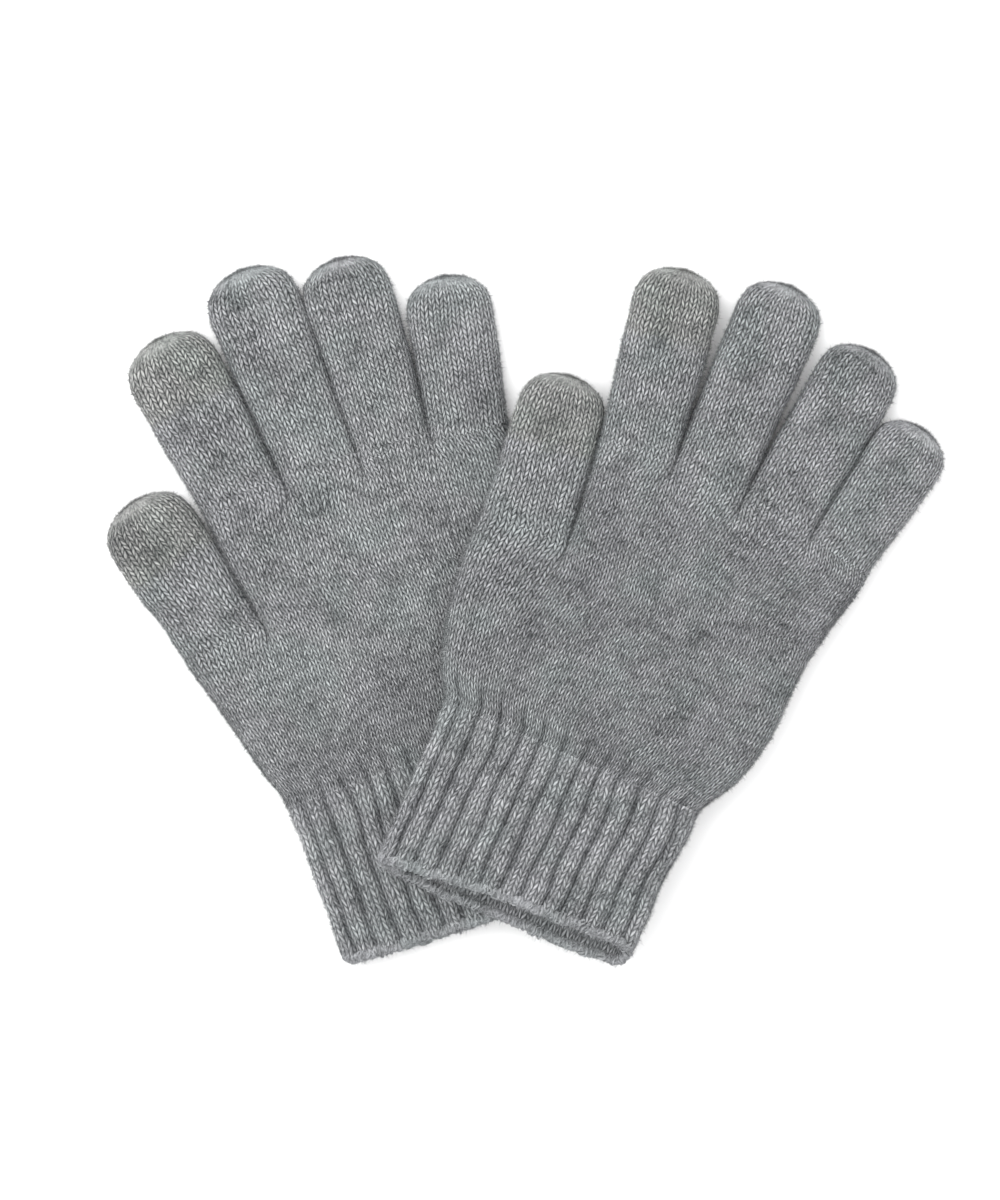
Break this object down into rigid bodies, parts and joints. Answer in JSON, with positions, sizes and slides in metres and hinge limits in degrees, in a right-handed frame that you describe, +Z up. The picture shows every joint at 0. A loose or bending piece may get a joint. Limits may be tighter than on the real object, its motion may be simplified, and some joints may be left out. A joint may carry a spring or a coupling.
{
  "type": "pair of touchscreen gloves",
  "caption": "Pair of grey melange knitted touchscreen gloves laid flat, one across the other, with ribbed cuffs, conductive thumb and index tips and bending fingers.",
  "frame": {"origin": "middle of the pair's footprint on the table plane that both gloves lie on", "axes": "+Z up off the table, +X across the pair from the lower glove to the upper one, +Y towards the fingertips"},
  "size_m": [0.2702, 0.2254, 0.024],
  "materials": {
    "melange_knit": "matte, brushed",
    "conductive_knit": "matte",
    "rib_knit": "matte, brushed",
    "overlock_yarn": "matte",
    "closing_yarn": "matte",
    "elastic_yarn": "matte"
  },
  "bodies": {
    "lower_glove_hand": {"lower_glove_palm": "melange_knit", "lower_glove_crotch_stitches": "closing_yarn", "lower_glove_ribbed_cuff": "rib_knit", "lower_glove_cuff_hem": "overlock_yarn", "lower_glove_cuff_elastic": "elastic_yarn"},
    "upper_glove_hand": {"upper_glove_palm": "melange_knit", "upper_glove_crotch_stitches": "closing_yarn", "upper_glove_ribbed_cuff": "rib_knit", "upper_glove_cuff_hem": "overlock_yarn", "upper_glove_cuff_elastic": "elastic_yarn"},
    "lower_glove_thumb_base_part": {"lower_glove_thumb_base": "melange_knit"},
    "lower_glove_thumb_end_part": {"lower_glove_thumb_end": "melange_knit", "lower_glove_thumb_tip_seam": "closing_yarn", "lower_glove_thumb_touch_tip": "conductive_knit"},
    "lower_glove_index_base_part": {"lower_glove_index_base": "melange_knit"},
    "lower_glove_index_end_part": {"lower_glove_index_end": "melange_knit", "lower_glove_index_tip_seam": "closing_yarn", "lower_glove_index_touch_tip": "conductive_knit"},
    "lower_glove_middle_base_part": {"lower_glove_middle_base": "melange_knit"},
    "lower_glove_middle_end_part": {"lower_glove_middle_end": "melange_knit", "lower_glove_middle_tip_seam": "closing_yarn"},
    "lower_glove_ring_base_part": {"lower_glove_ring_base": "melange_knit"},
    "lower_glove_ring_end_part": {"lower_glove_ring_end": "melange_knit", "lower_glove_ring_tip_seam": "closing_yarn"},
    "lower_glove_little_base_part": {"lower_glove_little_base": "melange_knit"},
    "lower_glove_little_end_part": {"lower_glove_little_end": "melange_knit", "lower_glove_little_tip_seam": "closing_yarn"},
    "upper_glove_thumb_base_part": {"upper_glove_thumb_base": "melange_knit"},
    "upper_glove_thumb_end_part": {"upper_glove_thumb_end": "melange_knit", "upper_glove_thumb_tip_seam": "closing_yarn", "upper_glove_thumb_touch_tip": "conductive_knit"},
    "upper_glove_index_base_part": {"upper_glove_index_base": "melange_knit"},
    "upper_glove_index_end_part": {"upper_glove_index_end": "melange_knit", "upper_glove_index_tip_seam": "closing_yarn", "upper_glove_index_touch_tip": "conductive_knit"},
    "upper_glove_middle_base_part": {"upper_glove_middle_base": "melange_knit"},
    "upper_glove_middle_end_part": {"upper_glove_middle_end": "melange_knit", "upper_glove_middle_tip_seam": "closing_yarn"},
    "upper_glove_ring_base_part": {"upper_glove_ring_base": "melange_knit"},
    "upper_glove_ring_end_part": {"upper_glove_ring_end": "melange_knit", "upper_glove_ring_tip_seam": "closing_yarn"},
    "upper_glove_little_base_part": {"upper_glove_little_base": "melange_knit"},
    "upper_glove_little_end_part": {"upper_glove_little_end": "melange_knit", "upper_glove_little_tip_seam": "closing_yarn"}
  },
  "joints": [
    {"name": "lower_glove_thumb_root_bend", "type": "hinge", "parent": "lower_glove_hand", "child": "lower_glove_thumb_base_part", "pos_m": [-0.09956, -0.00779, 0.0039], "axis": [0.9397, 0.342, 0], "range_deg": [0, 60]},
    {"name": "lower_glove_thumb_middle_bend", "type": "hinge", "parent": "lower_glove_thumb_base_part", "child": "lower_glove_thumb_end_part", "pos_m": [-0.11226, 0.01139, 0.0039], "axis": [0.9397, 0.342, 0], "range_deg": [0, 60]},
    {"name": "lower_glove_index_root_bend", "type": "hinge", "parent": "lower_glove_hand", "child": "lower_glove_index_base_part", "pos_m": [-0.09094, 0.03419, 0.0039], "axis": [0.9397, 0.342, 0], "range_deg": [0, 75]},
    {"name": "lower_glove_index_middle_bend", "type": "hinge", "parent": "lower_glove_index_base_part", "child": "lower_glove_index_end_part", "pos_m": [-0.10358, 0.05805, 0.0039], "axis": [0.9397, 0.342, 0], "range_deg": [0, 75]},
    {"name": "lower_glove_middle_root_bend", "type": "hinge", "parent": "lower_glove_hand", "child": "lower_glove_middle_base_part", "pos_m": [-0.06802, 0.0436, 0.0039], "axis": [0.9397, 0.342, 0], "range_deg": [0, 75]},
    {"name": "lower_glove_middle_middle_bend", "type": "hinge", "parent": "lower_glove_middle_base_part", "child": "lower_glove_middle_end_part", "pos_m": [-0.07902, 0.07151, 0.0039], "axis": [0.9397, 0.342, 0], "range_deg": [0, 75]},
    {"name": "lower_glove_ring_root_bend", "type": "hinge", "parent": "lower_glove_hand", "child": "lower_glove_ring_base_part", "pos_m": [-0.04414, 0.05069, 0.0039], "axis": [0.9397, 0.342, 0], "range_deg": [0, 75]},
    {"name": "lower_glove_ring_middle_bend", "type": "hinge", "parent": "lower_glove_ring_base_part", "child": "lower_glove_ring_end_part", "pos_m": [-0.05196, 0.07758, 0.0039], "axis": [0.9397, 0.342, 0], "range_deg": [0, 75]},
    {"name": "lower_glove_little_root_bend", "type": "hinge", "parent": "lower_glove_hand", "child": "lower_glove_little_base_part", "pos_m": [-0.01949, 0.05594, 0.0039], "axis": [0.9397, 0.342, 0], "range_deg": [0, 60]},
    {"name": "lower_glove_little_middle_bend", "type": "hinge", "parent": "lower_glove_little_base_part", "child": "lower_glove_little_end_part", "pos_m": [-0.02347, 0.07758, 0.0039], "axis": [0.9397, 0.342, 0], "range_deg": [0, 60]},
    {"name": "upper_glove_lift", "type": "slide", "parent": "lower_glove_hand", "child": "upper_glove_hand", "axis": [0, 0, 1], "range_m": [0, 0.12]},
    {"name": "upper_glove_thumb_root_bend", "type": "hinge", "parent": "upper_glove_hand", "child": "upper_glove_thumb_base_part", "pos_m": [-0.0031, 0.02541, 0.01328], "axis": [0.9119, -0.4073, -0.0496], "range_deg": [0, 60]},
    {"name": "upper_glove_thumb_middle_bend", "type": "hinge", "parent": "upper_glove_thumb_base_part", "child": "upper_glove_thumb_end_part", "pos_m": [0.00417, 0.04721, 0.01229], "axis": [0.9119, -0.4073, -0.0496], "range_deg": [0, 60]},
    {"name": "upper_glove_index_root_bend", "type": "hinge", "parent": "upper_glove_hand", "child": "upper_glove_index_base_part", "pos_m": [0.03367, 0.04892, 0.01034], "axis": [0.9119, -0.4073, -0.0496], "range_deg": [0, 75]},
    {"name": "upper_glove_index_middle_bend", "type": "hinge", "parent": "upper_glove_index_base_part", "child": "upper_glove_index_end_part", "pos_m": [0.04126, 0.07481, 0.00923], "axis": [0.9119, -0.4073, -0.0496], "range_deg": [0, 75]},
    {"name": "upper_glove_middle_root_bend", "type": "hinge", "parent": "upper_glove_hand", "child": "upper_glove_middle_base_part", "pos_m": [0.05669, 0.03973, 0.00906], "axis": [0.9119, -0.4073, -0.0496], "range_deg": [0, 75]},
    {"name": "upper_glove_middle_middle_bend", "type": "hinge", "parent": "upper_glove_middle_base_part", "child": "upper_glove_middle_end_part", "pos_m": [0.06866, 0.06721, 0.00763], "axis": [0.9119, -0.4073, -0.0496], "range_deg": [0, 75]},
    {"name": "upper_glove_ring_root_bend", "type": "hinge", "parent": "upper_glove_hand", "child": "upper_glove_ring_base_part", "pos_m": [0.0787, 0.02826, 0.0079], "axis": [0.9119, -0.4073, -0.0496], "range_deg": [0, 75]},
    {"name": "upper_glove_ring_middle_bend", "type": "hinge", "parent": "upper_glove_ring_base_part", "child": "upper_glove_ring_end_part", "pos_m": [0.09257, 0.05254, 0.00643], "axis": [0.9119, -0.4073, -0.0496], "range_deg": [0, 75]},
    {"name": "upper_glove_little_root_bend", "type": "hinge", "parent": "upper_glove_hand", "child": "upper_glove_little_base_part", "pos_m": [0.0999, 0.01496, 0.00684], "axis": [0.9119, -0.4073, -0.0496], "range_deg": [0, 60]},
    {"name": "upper_glove_little_middle_bend", "type": "hinge", "parent": "upper_glove_little_base_part", "child": "upper_glove_little_end_part", "pos_m": [0.11191, 0.03336, 0.00563], "axis": [0.9119, -0.4073, -0.0496], "range_deg": [0, 60]}
  ],
  "couplings": [
    {"joint": "lower_glove_thumb_middle_bend", "follows": "lower_glove_thumb_root_bend", "ratio": 1},
    {"joint": "lower_glove_index_middle_bend", "follows": "lower_glove_index_root_bend", "ratio": 1},
    {"joint": "lower_glove_middle_middle_bend", "follows": "lower_glove_middle_root_bend", "ratio": 1},
    {"joint": "lower_glove_ring_middle_bend", "follows": "lower_glove_ring_root_bend", "ratio": 1},
    {"joint": "lower_glove_little_middle_bend", "follows": "lower_glove_little_root_bend", "ratio": 1},
    {"joint": "upper_glove_thumb_middle_bend", "follows": "upper_glove_thumb_root_bend", "ratio": 1},
    {"joint": "upper_glove_index_middle_bend", "follows": "upper_glove_index_root_bend", "ratio": 1},
    {"joint": "upper_glove_middle_middle_bend", "follows": "upper_glove_middle_root_bend", "ratio": 1},
    {"joint": "upper_glove_ring_middle_bend", "follows": "upper_glove_ring_root_bend", "ratio": 1},
    {"joint": "upper_glove_little_middle_bend", "follows": "upper_glove_little_root_bend", "ratio": 1}
  ]
}
